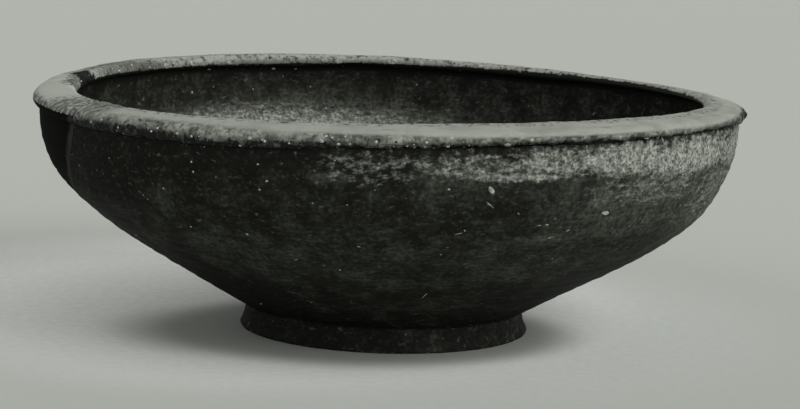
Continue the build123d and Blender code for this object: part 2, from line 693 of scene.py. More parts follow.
class Skin(Nodes):
    """A finish's surface, built up in layers.

    Attributes:
        made: The material.
        colour: The colour so far.
        roughness: The roughness so far.
        height: The relief so far, in millimetres.
        painted: The painted attributes, in the finish's order.
        noises: The noises, in the finish's order.
    """

    def __init__(self, finish: Finish) -> None:
        """Starts a material with its base, its painted attributes and its noises.

        Args:
            finish: The finish that it is made for.
        """
        self.made = bpy.data.materials.new(finish.name)
        super().__init__(self.made)
        self.colour, self.roughness, self.height = linear(finish.base), finish.matt, 0.0
        self.painted = [self.add("Attribute", out="Fac", attribute_name=name) for name in finish.painted]
        self.noises = []
        for noise in finish.noises:
            marks = {"Scale": 1 / (noise.size * MM), "Detail": noise.detail, "Roughness": noise.roughness}
            self.noises.append(self.add("TexNoise", {"Vector": self.place(noise.along), **marks}))

    def place(self, along: float = 0.0) -> Socket:
        """Coordinates for a pattern.

        Args:
            along: How much longer marks run round the bowl than they are high, or 0 for even marks.

        Returns:
            A vector in metres.
        """
        place = self.add("TexCoord", out="Object")
        if not along:
            return place
        parts = self.add("SeparateXYZ", {"Vector": place}).node.outputs
        flat = self.add("CombineXYZ", {"X": parts["X"], "Y": parts["Y"]})
        radius = self.add("VectorMath", {0: flat}, out="Value", operation="LENGTH")
        run = self.add("Math", {0: radius, 1: parts["Z"]}, operation="ADD")
        east, north = (
            self.add("Math", {0: parts[axis], 1: 1 / along}, operation="MULTIPLY") for axis in "XY"
        )
        return self.add("CombineXYZ", {"X": east, "Y": north, "Z": run})

    def speckle(self, spacing: float, radius: float, share: float, along: float = 0.0) -> Socket:
        """Scattered round specks.

        Args:
            spacing: The distance between places that may hold one.
            radius: The largest speck's radius.
            share: How many of those places hold one, from 0 to 1.
            along: How much longer than high they are, or 0 for round ones.

        Returns:
            1 on a speck and 0 beside it.
        """
        cell = {"Vector": self.place(along), "Scale": 1 / (spacing * MM)}
        cells = self.add("TexVoronoi", cell).node.outputs
        chance = self.add("SeparateColor", {"Color": cells["Color"]})
        largest = radius / spacing
        sizes = {"Value": chance, "From Min": 1 - share, "From Max": 1.0, "To Min": 0.0, "To Max": largest}
        size = self.add("MapRange", sizes)
        edge = self.add("Math", {0: size, 1: cells["Distance"]}, operation="SUBTRACT")
        rim = {"Value": edge, "From Min": 0.0, "From Max": 0.25 * radius / spacing}
        return self.add("MapRange", rim, interpolation_type="SMOOTHSTEP")

    def broken(
        self, amount: Socket | float, noise: Socket, reach: float, low: float, high: float
    ) -> Socket:
        """Breaks a soft map up by noise into patches with ragged edges.

        Args:
            amount: The soft map, from 0 to 1.
            noise: Noise round 0.5.
            reach: How strongly the noise breaks the map up.
            low: Where the result leaves 0.
            high: Where it reaches 1.

        Returns:
            The broken map.
        """
        shift = self.add("Math", {0: noise, 1: reach, 2: -reach / 2}, operation="MULTIPLY_ADD")
        total = self.add("Math", {0: shift, 1: amount}, operation="ADD")
        ragged = {"Value": total, "From Min": low, "From Max": high}
        return self.add("MapRange", ragged, interpolation_type="SMOOTHSTEP")

    def cover(
        self,
        masks: Socket | tuple[Socket | float, ...],
        colour: str | tuple[Socket, str, str],
        roughness: float | None = None,
        rise: float = 0.0,
    ) -> None:
        """Lays a layer over what is there.

        Args:
            masks: Where it lies, from 0 to 1, or maps and shares whose product says so.
            colour: Its colour, or a map with the colours at its 0 and 1.
            roughness: Its roughness, or None to keep what is there.
            rise: How far it stands out, or sinks in where it is negative.
        """
        mask, *factors = masks if isinstance(masks, tuple) else (masks,)
        for factor in factors:
            mask = self.add("Math", {0: mask, 1: factor}, operation="MULTIPLY")
        mixed = {"out": 2, "data_type": "RGBA"}
        if isinstance(colour, tuple):
            share, low, high = colour
            top = self.add("Mix", {0: share, 6: linear(low), 7: linear(high)}, **mixed)
        else:
            top = linear(colour)
        self.colour = self.add("Mix", {0: mask, 6: self.colour, 7: top}, **mixed)
        if roughness is not None:
            self.roughness = self.add("Mix", {0: mask, 2: self.roughness, 3: roughness})
        if rise:
            self.height = self.add("Math", {0: mask, 1: rise, 2: self.height}, operation="MULTIPLY_ADD")


@dataclass(frozen=True)
class FiredSlip(Finish):
    """Fired clay slip over thrown earthenware: near-black and satin, with faint wheel streaks.

    Long burial has dulled it, left a grainy grey bloom on it, and laid a spongy lime crust below the
    rim. The eye reads dark satin first, then the soft bloom and the chalky crust.
    """

    name: str = "fired slip on thrown earthenware"
    base: str = "#171814"
    matt: float = 0.58
    ior: float = 1.45
    specular: float = 0.02
    painted: tuple[str, ...] = ("crust", "bloom")
    # Swells, wheel streaks, lime lumps 1.7 times as long as high, clay grain, and the foam in the lime.
    # The real grain and foam are finer than a pixel, so they are drawn as coarse as they need to show.
    noises: tuple[Noise, ...] = (
        Noise(8, 6, 0.72), Noise(1.4, 3, along=9), Noise(1.6, 4, 0.7, along=1.7),
        Noise(1.3, 3, 0.6), Noise(0.9, 3, 0.6),
    )
    streak: str = "#1c1d1a"
    grey: str = "#5f6259"
    bare: str = "#8b8e85"
    lime: str = "#a6a9a0"
    lime_shade: str = "#5e6059"
    lime_hole: str = "#2c2e2a"
    white: str = "#c4c7be"

    def lay_on(self, skin: Skin) -> None:
        """Lays streaks and bloom on the slip, and then the lime with its holes and white grains.

        Args:
            skin: The surface.
        """
        crust, bloom = skin.painted
        swell, lines, lumps, grain, foam = skin.noises
        skin.cover((skin.broken(0.25, lines, 2.4, 0.1, 0.9), 0.4), self.streak, 0.6, 0.02)
        skin.cover((skin.broken(0.15, grain, 2.4, 0.2, 0.9), 0.18), self.grey, 0.7, 0.04)

        # The bloom map also carries painted light: a patch inside under the far rim, and more on the foot
        # ring's lit side
        bloomed = skin.broken(bloom, swell, 1.9, 0.0, 1.3)
        skin.cover((bloomed, skin.broken(0.5, grain, 1.6, 0.0, 1.1)), self.grey, 0.72, 0.05)
        skin.cover((bloomed, skin.broken(0.4, lines, 3.0, 0.1, 1.1), 0.1), self.bare, 0.78)
        skin.cover(skin.speckle(3.4, 0.28, 0.12), self.bare, 0.85, 0.05)

        sponge = skin.broken(0.5, foam, 3.0, 0.0, 1.0)
        limed = skin.broken(crust, lumps, 2.2, 0.15, 1.05)
        skin.cover(limed, (sponge, self.lime_shade, self.lime), 0.92, 0.15)
        skin.cover((skin.speckle(1.9, 0.8, 0.6), limed, 0.6), self.lime_hole, 0.8, -0.12)
        skin.cover((skin.speckle(1.7, 0.36, 0.5), limed), self.white, 0.92, 0.1)


@dataclass(frozen=True)
class LimedClayWithPaintedSheen(Finish):
    """Worn clay of the rim: its slip is rubbed off and a thin chalky lime skin lies on what is left.

    The eye reads a pale matt top with soft wheel streaks, and below it grey crumbs between dark pits. The
    top's paleness is partly the lime and partly the slip's sheen, painted in as colour; the hollows, the
    underside and the inner face below the overhang carry painted shade.
    """

    name: str = "worn limed clay"
    # Pale partly from lime and partly as the slip's sheen painted in as colour
    base: str = "#93968d"
    matt: float = 0.85
    ior: float = 1.45
    specular: float = 0.1
    painted: tuple[str, ...] = ("crumb", "dark", "relief")
    # Rubbed patches, wheel lines, crumbs, and chalk grain that is drawn coarser than it is, to show
    noises: tuple[Noise, ...] = (
        Noise(9, 4), Noise(1.6, 3, along=12), Noise(1.8, 4, 0.7), Noise(0.7, 2),
    )
    rubbed: str = "#70736a"
    crumb: str = "#8d9087"
    # Painted shade of pushed-in crumbs; scratches take this tone too
    crumb_shade: str = "#41433e"
    slip: str = "#191a17"
    white: str = "#b6b9b0"

    def lay_on(self, skin: Skin) -> None:
        """Rubs the chalk, and then lays on crumbs with painted shade in their hollows, scratches, pits, old
        slip with painted shade in its colour, and white beads.

        Args:
            skin: The surface.
        """
        crumbly, dark, relief = skin.painted
        rub, lines, crumbs, grain = skin.noises
        skin.cover((skin.broken(0.4, rub, 2.0, 0.2, 1.0), 0.6), self.rubbed, 0.78)
        skin.cover((skin.broken(0.3, lines, 2.4, 0.3, 1.0), 0.5), self.rubbed, 0.8, -0.04)
        skin.cover((skin.broken(0.3, grain, 2.0, 0.2, 1.0), 0.35), self.rubbed, 0.85, -0.05)
        # Painted shade in the crumbs' hollows: pushed-in crumbs take the shaded tone and raised ones the
        # pale tone
        shade_by_relief = skin.broken(relief, crumbs, 2.4, 0.1, 1.0)
        tone = (shade_by_relief, self.crumb_shade, self.crumb)
        skin.cover(skin.broken(crumbly, crumbs, 0.9, 0.1, 0.75), tone, 0.88, -0.08)
        scratches = skin.speckle(2.6, 0.33, 0.22, along=12)
        skin.cover((scratches, 0.7), self.crumb_shade, 0.85, -0.15)
        skin.cover((skin.speckle(1.9, 0.42, 0.55), crumbly), self.slip, 0.7, -0.25)
        # Old slip, plus painted shade under the roll and on its inner face below the overhang, in the slip's
        # colour
        skin.cover(skin.broken(dark, crumbs, 2.6, 0.35, 0.9), self.slip, 0.65, -0.08)
        skin.cover((skin.speckle(1.7, 0.46, 0.8), crumbly), self.white, 0.92, 0.15)
        skin.cover(skin.speckle(4.2, 0.26, 0.2), self.slip, 0.8, -0.2)


@dataclass(frozen=True)
class TonedPlaster(Finish):
    """Plaster of the restored section: smoother than the clay, pale on the rim, toned dark on the wall.

    The eye reads an even, slightly dusty surface, with grey smears and pits towards the near break.
    """

    name: str = "toned plaster"
    base: str = "#a0a39a"
    matt: float = 0.82
    ior: float = 1.5
    specular: float = 0.02
    painted: tuple[str, ...] = ("toned", "crumb", "edge")
    # Dusty patches, bristle lines, smears, and plaster grain that is drawn coarser than it is, to show
    noises: tuple[Noise, ...] = (
        Noise(7, 4), Noise(1.2, 2, along=25), Noise(2, 4, 0.7), Noise(0.6, 2),
    )
    dusty: str = "#8a8d84"
    smear: str = "#5a5c56"
    wall: str = "#0a0b09"
    wall_light: str = "#131411"
    edging: str = "#2c2e2a"
    pit: str = "#22231f"

    def lay_on(self, skin: Skin) -> None:
        """Dusts and pits the plaster, tones the wall, and then wears it along the break.

        Args:
            skin: The surface.
        """
        toned, crumb, edge = skin.painted
        dust, brush, smears, grain = skin.noises
        skin.cover((skin.broken(0.4, dust, 2.0, 0.2, 1.0), 0.6), self.dusty, 0.85)
        skin.cover((skin.broken(0.3, grain, 2.0, 0.2, 1.0), 0.3), self.dusty, 0.88, -0.03)
        skin.cover(skin.broken(crumb, smears, 3.0, 0.3, 1.2), self.smear, 0.85, -0.1)
        skin.cover(skin.speckle(3.4, 0.4, 0.2), self.pit, 0.85, -0.3)
        skin.cover((skin.speckle(1.4, 0.6, 0.7), crumb), self.pit, 0.85, -0.25)
        tone = (skin.broken(0.25, brush, 2.0, 0.2, 1.0), self.wall, self.wall_light)
        skin.cover(skin.broken(toned, smears, 0.9, 0.4, 0.6), tone, 0.8)
        skin.cover((skin.speckle(1.6, 0.55, 0.5), crumb, edge), self.base, 0.9, 0.1)
        skin.cover((skin.broken(edge, smears, 1.2, 0.2, 1.0), toned), self.edging, 0.7)


@dataclass(frozen=True)
class Grout(Finish):
    """Old glue and grout in the break: dark and crumbly, with pale plaster dust caught in it."""

    name: str = "dark grout"
    base: str = "#0f100e"
    matt: float = 0.8
    ior: float = 1.5
    specular: float = 0.2
    painted: tuple[str, ...] = ("dust",)
    # Crumbs of old glue
    noises: tuple[Noise, ...] = (Noise(0.9, 3),)
    dust: str = "#8f9289"

    def lay_on(self, skin: Skin) -> None:
        """Lays the dust on."""
        skin.cover(skin.broken(*skin.painted, *skin.noises, 3.0, 0.5, 0.75), self.dust, 0.92, 0.1)


@dataclass(frozen=True)
class PaperFloor(Finish):
    """Pale matt background paper with a very fine tooth, with painted light round the bowl and painted
    shadow by its foot.

    Attributes:
        fibre: Its fibres' colour.
        painted_light_and_shadow: Round pools of painted light and painted shadow that shade into it: x, y,
            outer and inner radius in millimetres, and colour.
    """

    name: str = "pale background paper"
    base: str = "#b0b4ad"
    matt: float = 0.95
    ior: float = 1.45
    specular: float = 0.1
    painted: tuple[str, ...] = ()
    # The paper's tooth, drawn coarser than it is, to show
    noises: tuple[Noise, ...] = (Noise(3, 3),)
    fibre: str = "#a4a8a1"
    # Painted light lightens the paper round the bowl so its cast shadow stays small, and painted shadow
    # darkens it by the foot
    painted_light_and_shadow: tuple[tuple[float, float, float, float, str], ...] = (
        # Painted light round the bowl
        (-6, 10, 167, 16, "#e9ede6"),
        (-51, 35, 150, 70, "#e9ede6"),
        # Painted shadow by the foot
        (15, -8, 53, 30, "#979b94"),
        (-44, -16, 50, 16, "#949891"),
        (-8, -8, 66, 45, "#999d96"),
    )

    def lay_on(self, skin: Skin) -> None:
        """Paints the round pools of light and shadow, and lays the fibres over them.

        Args:
            skin: The surface.
        """
        for east, north, outer, inner, colour in self.painted_light_and_shadow:
            ends = {0: skin.place(), 1: (east * MM, north * MM, 0.0)}
            away = skin.add("VectorMath", ends, out="Value", operation="DISTANCE")
            inside = {"Value": away, "From Min": outer * MM, "From Max": inner * MM}
            skin.cover(skin.add("MapRange", inside, interpolation_type="SMOOTHSTEP"), colour)
        skin.cover((skin.broken(0.5, *skin.noises, 2.0, 0.1, 0.9), 0.15), self.fibre)


# The break


@dataclass(frozen=True)
class Break:
    """The break in wall and rim: two faces that meet in a low tip, rough as fired clay breaks.

    Attributes:
        focus: A point on the line where both faces meet, inside the bowl and above it.
        tip: Where that line comes out of the wall.
        near: A point of the near face, on the viewer's side of the lip.
        far: A point of the far face.
        reach: How far the faces run.
        lead: How far they start before the focus.
        cells: Squares along each side of a face.
    """

    focus: Place = (-78.71, -31.01, 81.2)
    tip: Place = (-91.3, -29.67, 40.0)
    near: Place = (-90.58, -58.82, 69.0)
    far: Place = (-106.02, 20.61, 69.0)
    reach: float = 84.0
    lead: float = 16.0
    cells: int = 64

    def from_near_face(self, points: np.ndarray) -> np.ndarray:
        """Says how far points lie from the near face.

        Args:
            points: Points in millimetres.

        Returns:
            Distances in millimetres, large where that face doesn't reach.
        """
        focus = np.array(self.focus)
        normal = np.cross(np.array(self.tip) - focus, np.array(self.near) - focus)
        reached = (points[:, 0] < focus[0]) & (points[:, 1] <= self.tip[1])
        return np.where(reached, np.abs((points - focus) @ normal) / np.linalg.norm(normal), self.reach)

    def cutter(self, side: Side) -> Piece:
        """Builds the lost sherd's block with its two rough faces.

        Args:
            side: Which side of the bond the block ends at.

        Returns:
            The block, a closed solid.
        """
        focus = Vector(self.focus)
        line = (Vector(self.tip) - focus).normalized()
        inward = Vector((0, 0, 0))
        sheets = []
        grid = {"x_subdivisions": self.cells, "y_subdivisions": self.cells, "size": self.reach * MM}
        for point, turned in ((self.near, 1), (self.far, -1)):
            span = Vector(point) - focus
            span = (span - line * span.dot(line)).normalized()
            inward += line.cross(span) * turned
            middle = focus + line * (self.reach / 2 - self.lead) + span * self.reach / 2
            bpy.ops.mesh.primitive_grid_add(**grid)
            sheets.append(bpy.context.object)
            sheets[-1].matrix_world = axes_at(middle * MM, line, span, line.cross(span))
            bpy.ops.object.transform_apply()
        made = join(sheets, f"{side.name.lower()} cutter")
        clean(made, 0.01)
        roughen(made, Grain.SWELL, 7.0, 1.8)
        roughen(made, Grain.ROLL, 2.4, 0.9)
        shift = inward * (2 / inward.length_squared) * side.value
        with editing(made):
            bpy.ops.transform.translate(value=shift * MM)
            outwards = {"value": (-self.reach * MM, 0, 0)}
            bpy.ops.mesh.extrude_region_move(TRANSFORM_OT_translate=outwards)
        clean(made)
        return made


# The bowl's pieces


@dataclass(frozen=True)
class BowlBody:
    """Floor and wall, thrown in one piece, with a tongue for the rim and a boss for the foot ring.

    Attributes:
        seat_radii: Inner and outer radius of the foot ring's seat.
        seat_height: Its height.
        floor_under: Height of the floor's underside.
        floor_top: Height of the floor's top.
        floor_edge: Radius at which the floor turns up.
        inner_start: Where the inner wall starts.
        wall_start: Where the outer wall starts.
        inner_top: The upright end of the inner wall.
        wall_top: The upright end of the outer wall.
        joint: Radii and height of the joint under the rim.
        tongue: The tongue's corners from inside to outside.
        rise_angle: The angle at which the wall leaves the foot.
        cone_length: How long the wall keeps that angle.
        shoulder_length: How far below its top the wall turns upright.
        inner_share: How much shorter the inner wall's curve is.
        neck_pull: The point that pulls the neck's curve upright.
        inner_ridges: Throwing ridges on the inner wall.
        outer_ridges: Throwing ridges on the outer wall.
        shoulder_line: A radius and height in the clay's middle above the cone, and its run by height.
        cone_line: The same in the cone.
        cone_top: Height of the cone's end.
        rim_under: Height under which a surface is the wall's and not the rim's.
        crust_zone: The height above which crust is modelled, and the turns between which.
        steps: Faces round it.
        crust: Lime on the outer wall.
        bloom: Grey bloom there.
        inner_crust: Lime on the inner wall.
        inner_bloom_and_light: Bloom there, and a patch of painted light under the far rim.
        warp: How far the bowl is from true.
    """

    seat_radii: Point = (36.5, 43.4)
    seat_height: float = 7.0
    floor_under: float = 6.2
    floor_top: float = 12.2
    floor_edge: float = 36.63
    inner_start: Point = (42.81, 13.91)
    wall_start: Point = (46.0, 8.6)
    inner_top: Point = (101.8, 67.2)
    wall_top: Point = (108.0, 67.2)
    joint: Place = (101.8, 107.7, 69.0)
    tongue: tuple[Point, ...] = ((103.15, 69.0), (103.75, 71.6), (105.75, 71.6), (106.35, 69.0))
    rise_angle: float = 31.0
    cone_length: float = 40.3
    shoulder_length: float = 27.4
    inner_share: float = 0.9515
    neck_pull: Point = (43.4, 7.88)
    inner_ridges: Ridges = Ridges(0.22, 6.5, 3)
    outer_ridges: Ridges = Ridges(0.16, 5.2, 8)
    shoulder_line: Place = (96.0, 44.0, 0.41)
    cone_line: Place = (43.0, 7.0, 1.5)
    cone_top: float = 40.0
    rim_under: float = 70.8
    crust_zone: Place = (52.0, -96.0, 14.0)
    steps: int = 480
    crust: Patches = rows_of(
        Patch,
        (-93, 66, 12, 4, 0.32), (-94, 62, 12, 4, 0.28), (-78, 65, 14, 6, 0.5), (-63, 66, 16, 7, 0.65),
        (-50, 66, 18, 8, 0.8), (-34, 65, 26, 9, 0.85), (-10, 64, 24, 11, 0.75), (-42, 57, 22, 9, 0.4),
        (-18, 52, 24, 18, 0.4), (-70, 62, 14, 2, 0.7), (14, 62, 22, 9, 0.6), (60, 63, 40, 7, 0.35),
    )
    bloom: Patches = rows_of(
        Patch,
        (-127, 49, 9, 12, 0.4), (-118, 39, 16, 8, 0.38), (-98, 60.5, 7, 4, 0.5), (-90, 60, 14, 7, 0.35),
        (-99, 38, 18, 12, 0.4), (-72, 60, 26, 10, 0.45), (-45, 52, 34, 20, 0.75), (-20, 48, 30, 26, 0.9),
        (-62, 43, 9, 5, 0.75), (-60, 36, 50, 18, 0.5), (-86, 44, 60, 34, 0.3), (-96, 36, 80, 20, 0.42),
        (-127.5, 50.5, 6, 7, 0.6), (-120, 38.5, 10, 4, 0.55), (-104, 37, 10, 4, 0.55),
        (-80, 18, 60, 14, 0.25), (60, 50, 60, 20, 0.5),
    )
    inner_crust: Patches = rows_of(Patch, (114, 50, 50, 12, 0.75), (108, 25, 70, 22, 0.4))
    # The row at turn 72 is painted light on the shaded band under the far rim; the others are bloom
    inner_bloom_and_light: Patches = rows_of(
        Patch,
        (111, 48.5, 67, 20, 1.25), (104, 55, 110, 24, 0.4), (72, 64, 70, 12, 0.3), (120, 30, 80, 28, 0.8),
    )
    warp: Warp = Warp()

    def wall_pulls(self, start: Point, end: Point, share: float) -> tuple[Point, Point]:
        """The control points of a wall curve.

        Args:
            start: Its lower end.
            end: Its upper end.
            share: How long its pulls are, against the outer wall's.

        Returns:
            The lower and the upper control point.
        """
        angle = math.radians(self.rise_angle)
        low = self.cone_length * share
        lower = (start[0] + low * math.cos(angle), start[1] + low * math.sin(angle))
        return lower, (end[0], end[1] - self.shoulder_length * share)

    def inner_wall(self, section: Section) -> Section:
        """Draws the inner wall upwards from where it starts."""
        pulls = self.wall_pulls(self.inner_start, self.inner_top, self.inner_share)
        return section.curve(*pulls, self.inner_top, step=2.2, ridges=self.inner_ridges)

    def outer_wall(self, section: Section) -> Section:
        """Draws the outer wall downwards from its top."""
        low, high = self.wall_pulls(self.wall_start, self.wall_top, 1.0)
        return section.curve(high, low, self.wall_start, step=1.15, ridges=self.outer_ridges)

    def section(self) -> Section:
        """Draws the whole section.

        Returns:
            The section, from the middle of the floor's top to the middle of its underside.
        """
        inner, outer, joint = self.joint
        seat, neck = self.seat_radii
        path = Section([(0, self.floor_top)]).run((self.floor_edge, self.floor_top), step=3.0)
        path.arc(self.inner_start, (1, 0), step=2.0)
        self.inner_wall(path)
        path.run((inner, joint), *self.tongue, (outer, joint), step=2.5)
        path.run(self.wall_top, step=1.0)
        self.outer_wall(path)
        path.curve(self.neck_pull, (neck, self.seat_height), step=0.7)
        path.run((seat, self.seat_height), (seat, self.floor_under), step=3.0)
        return path.run((0, self.floor_under), step=3.0)

    def outside(self, points: np.ndarray) -> np.ndarray:
        """Says which points lie on the outer wall, by a line through the clay's middle.

        Args:
            points: Points in millimetres.

        Returns:
            A true or false for each.
        """
        height = points[:, 2]
        shoulder, cone = (r + (height - z) * run for r, z, run in (self.shoulder_line, self.cone_line))
        middle = np.where(height > self.cone_top, shoulder, cone)
        return (radius_of(points) > middle) & (height < self.rim_under)

    def build(self, broken_out: Piece) -> Piece:
        """Turns the piece, breaks the sherd out and gives it its crust.

        Args:
            broken_out: The block of the lost sherd.

        Returns:
            The finished mesh.
        """
        made = self.section().turned("bowl_body_turned", self.steps)
        self.warp.bend(made)
        cut(made, broken_out, "DIFFERENCE")
        refine(made, self.crusted)
        points = points_mm(made)
        outer = self.outside(points)
        crust = lay(self.crust, points) * outer
        roughen(made, Grain.PEBBLE, 1.9, 0.5, crust)
        inner = ~outer & (points[:, 2] > 12.5)
        # Inside, bloom also carries a patch of painted light
        paint(
            made,
            crust=crust + lay(self.inner_crust, points) * inner,
            bloom=lay(self.bloom, points) * outer + lay(self.inner_bloom_and_light, points) * inner,
        )
        return made

    def crusted(self, centres: np.ndarray) -> np.ndarray:
        """Says which faces carry crust thick enough to be modelled.

        Args:
            centres: The faces' centres in millimetres.

        Returns:
            A true or false for each.
        """
        low, start, end = self.crust_zone
        turn = turn_of(centres)
        return self.outside(centres) & (centres[:, 2] > low) & (turn > start) & (turn < end)


@dataclass(frozen=True)
class FootRing:
    """The luted foot ring: a flared outer face, eased edges and a flat standing face.

    Attributes:
        radius: Outer radius at the standing face.
        neck: Radius and height of its top's outer edge.
        seat: Radius and height of its top's inner edge.
        outer_edge: Size of the eased outer edge.
        face_width: Width of the standing face.
        inner_edge: Size of the eased inner edge.
        steps: Faces round it.
    """

    radius: float = 45.0
    neck: Point = (43.4, 7.0)
    seat: Point = (36.5, 7.0)
    outer_edge: float = 0.8
    face_width: float = 4.2
    inner_edge: float = 1.2
    steps: int = 420

    def section(self) -> Section:
        """Draws the section.

        Returns:
            The section, round from its top's outer edge.
        """
        outer = self.radius - self.outer_edge
        inner = outer - self.face_width
        recess = inner - self.inner_edge
        path = Section([self.neck])
        path.curve((self.neck[0], self.neck[1] / 2), (self.radius, self.outer_edge), step=0.5)
        path.curve((self.radius, 0), (outer, 0), step=0.3)
        path.run((inner, 0), step=0.8)
        path.curve((recess, 0), (recess, self.inner_edge), step=0.4)
        return path.run(self.seat, self.neck, step=0.8)

    def build(self) -> Piece:
        """Turns the ring and wears its lower edge.

        Returns:
            The finished mesh.
        """
        made = self.section().turned("foot_ring_turned", self.steps)
        points = points_mm(made)
        height = points[:, 2]
        low = ease(height, 3.2, 0.6) * ease(height, -0.1, 0.3)
        roughen(made, Grain.SWELL, 11.0, 0.5, ease(height, 0.2, 2.0))
        roughen(made, Grain.ROLL, 2.6, 0.6, low)
        # Grey bloom, growing towards +X as painted light on the side that the main light falls on
        paint(made, crust=0.05 * low, bloom=0.05 + 0.15 * ease(points[:, 0], -20, 30))
        return made


@dataclass(frozen=True)
class RimRoll:
    """The rolled rim: a thick roll pressed over the wall's tongue, with a top that slopes outwards.

    Attributes:
        joint_out: Outer end of the joint with the wall.
        joint_in: Inner end of the joint.
        tip: The roll's outermost point.
        shoulder: Where its outer edge meets the sloping top.
        crest: Its highest point.
        lip: Its innermost point.
        bend: Where its inner underside turns.
        slope_angle: The slope of its top.
        groove: The groove's corners over the wall's tongue, from outside to inside.
        step: The distance between two points over its top, about.
        steps: Faces round it.
        crumb: Where its lower edge is crumbly.
        rough: Where the rest of it is.
        dark: Where its lower edge is darkened, by slip left on it and by painted shade on the roll's
            underside.
        mottle: How much slip is left on its inner face.
        chips: The turns between which its inner edge is chipped, at the break's far end.
        chip_ends: How far the chipping runs in from each of those before it is full.
        chip_radii: The radii at which it starts and is full.
        skirt_fall: How much lower its crumbly skirt's top lies for each millimetre further in.
        skirt_radius: Radius at which that top has its own height.
        skirt_heights: The heights at which the skirt starts and is full.
        skirt_radii: The radii at which it does so.
        shade_under_heights: The heights at which the painted shade under the roll, over its joint, starts
            and is full.
        inside_radii: The radii at which its dark inner face, mottled slip and painted shade, starts and is
            full.
        inner_shade_heights: The heights at which the painted shade on that face, under the inward overhang,
            gets its darkest.
        relief: How much relief there is between its pushed-in crumbs, painted in shade, and its pale raised
            ones.
        warp: How far the bowl is from true.
    """

    joint_out: Point = (107.7, 69.0)
    joint_in: Point = (101.8, 69.0)
    tip: Point = (110.0, 71.3)
    shoulder: Point = (107.63, 74.39)
    crest: Point = (99.2, 75.6)
    lip: Point = (97.2, 73.2)
    bend: Point = (99.5, 71.1)
    slope_angle: float = 15.0
    groove: tuple[Point, ...] = ((106.35, 69.0), (105.75, 71.6), (103.75, 71.6), (103.15, 69.0))
    step: float = 0.75
    steps: int = 720
    crumb: Patches = rows_of(
        Patch,
        (-122, 70, 34, 6.5, 1.0), (-92, 70.4, 28, 5.6, 1.0), (-60, 70.4, 46, 5.2, 1.0),
        (-14, 70, 30, 6, 1.0), (60, 70, 70, 6, 0.9), (130, 70, 40, 6, 0.9),
    )
    rough: Patches = rows_of(Patch, (-148, 73, 13, 12, 1.3), (152, 74, 20, 3, 0.9), (100, 73, 60, 3, 0.6))
    # Slip left on the lower edge, and painted shade where it turns under
    dark: Patches = rows_of(
        Patch,
        (-132, 69, 30, 3.4, 0.9), (-105, 69, 30, 3.4, 0.8), (-92, 71.5, 3.5, 3, 0.6),
        (-60, 69.4, 56, 3.6, 0.85), (-22, 70.4, 20, 3.4, 0.6), (-9, 71.6, 17, 3.6, 0.85),
        (90, 69.5, 100, 4, 0.85),
    )
    mottle: float = 0.42
    chips: Point = (166.0, 193.0)
    chip_ends: Point = (2.5, 9.0)
    chip_radii: Point = (104.0, 99.5)
    skirt_fall: float = 0.3
    skirt_radius: float = 104.0
    skirt_heights: Point = (73.6, 71.0)
    skirt_radii: Point = (103.5, 106.5)
    shade_under_heights: Point = (70.0, 69.0)
    inside_radii: Point = (104.0, 102.4)
    inner_shade_heights: Point = (73.5, 72.3)
    relief: float = 1.6
    warp: Warp = Warp()

    def over(self, path: Section) -> Section:
        """Draws the roll from the inner joint over the top to the outer joint.

        Args:
            path: A section that ends at the inner joint.

        Returns:
            The same section.
        """
        slope = math.radians(self.slope_angle)
        path.arc(self.bend, (0, 1), self.step)
        path.arc(self.lip, (0, 1), self.step, at_end=True)
        path.arc(self.crest, (0, 1), self.step)
        path.arc(self.shoulder, (math.cos(slope), -math.sin(slope)), self.step, at_end=True)
        path.arc(self.tip, (0, -1), self.step, at_end=True)
        return path.arc(self.joint_out, (0, -1), self.step)

    def build(self, broken_out: Piece) -> Piece:
        """Turns the roll, breaks the sherd out and weathers it.

        Args:
            broken_out: The block of the lost sherd.

        Returns:
            The finished mesh.
        """
        path = self.over(Section([self.joint_in])).run(*self.groove, self.joint_in, step=3.0)
        made = path.turned("rim_roll_turned", self.steps)
        self.warp.bend(made)
        cut(made, broken_out, "DIFFERENCE")
        refine(made, self.facing_viewer)
        self.weather(made)
        return made

    def weather(self, made: Piece) -> None:
        """Crumbles the lower outer edge and stores what the material reads.

        Args:
            made: The roll.
        """
        before = points_mm(made)
        radius = radius_of(before)
        height = before[:, 2] - self.warp.climbed(before)
        placed = np.column_stack([before[:, :2], height])
        below = height - self.skirt_fall * (radius - self.skirt_radius)
        skirt = ease(below, *self.skirt_heights) * ease(radius, *self.skirt_radii)
        crumb, rough = lay(self.crumb, placed) * skirt, lay(self.rough, before)
        chipped = self.chipped(before)
        roughen(made, Grain.SWELL, 12.0, 0.6)
        crumbled = np.maximum(crumb, 0.5 * rough)
        roughen(made, Grain.ROLL, 4.5, 1.6, crumbled)
        roughen(made, Grain.PEBBLE, 2.0, 0.8, crumbled)
        roughen(made, Grain.ROLL, 2.6, 2.0, chipped)
        after = points_mm(made)
        relief = np.sign(radius_of(after) - radius) * np.linalg.norm(after - before, axis=1)
        # Painted shade under the roll's outward overhang, at every turn
        under = 0.9 * ease(height, *self.shade_under_heights)
        # Painted shade on the inner face below the inward overhang, over the mottled slip that it keeps
        slip_and_painted_shade = np.maximum(self.mottle, 1.3 * ease(height, *self.inner_shade_heights))
        lip = ease(radius, *self.inside_radii) * slip_and_painted_shade
        paint(
            made,
            relief=np.clip(0.5 + relief / self.relief, 0, 1),
            crumb=np.max([crumb, rough, 1.3 * chipped], axis=0),
            dark=np.max([lay(self.dark, placed) * skirt, under, lip, 1.35 * chipped], axis=0),
        )

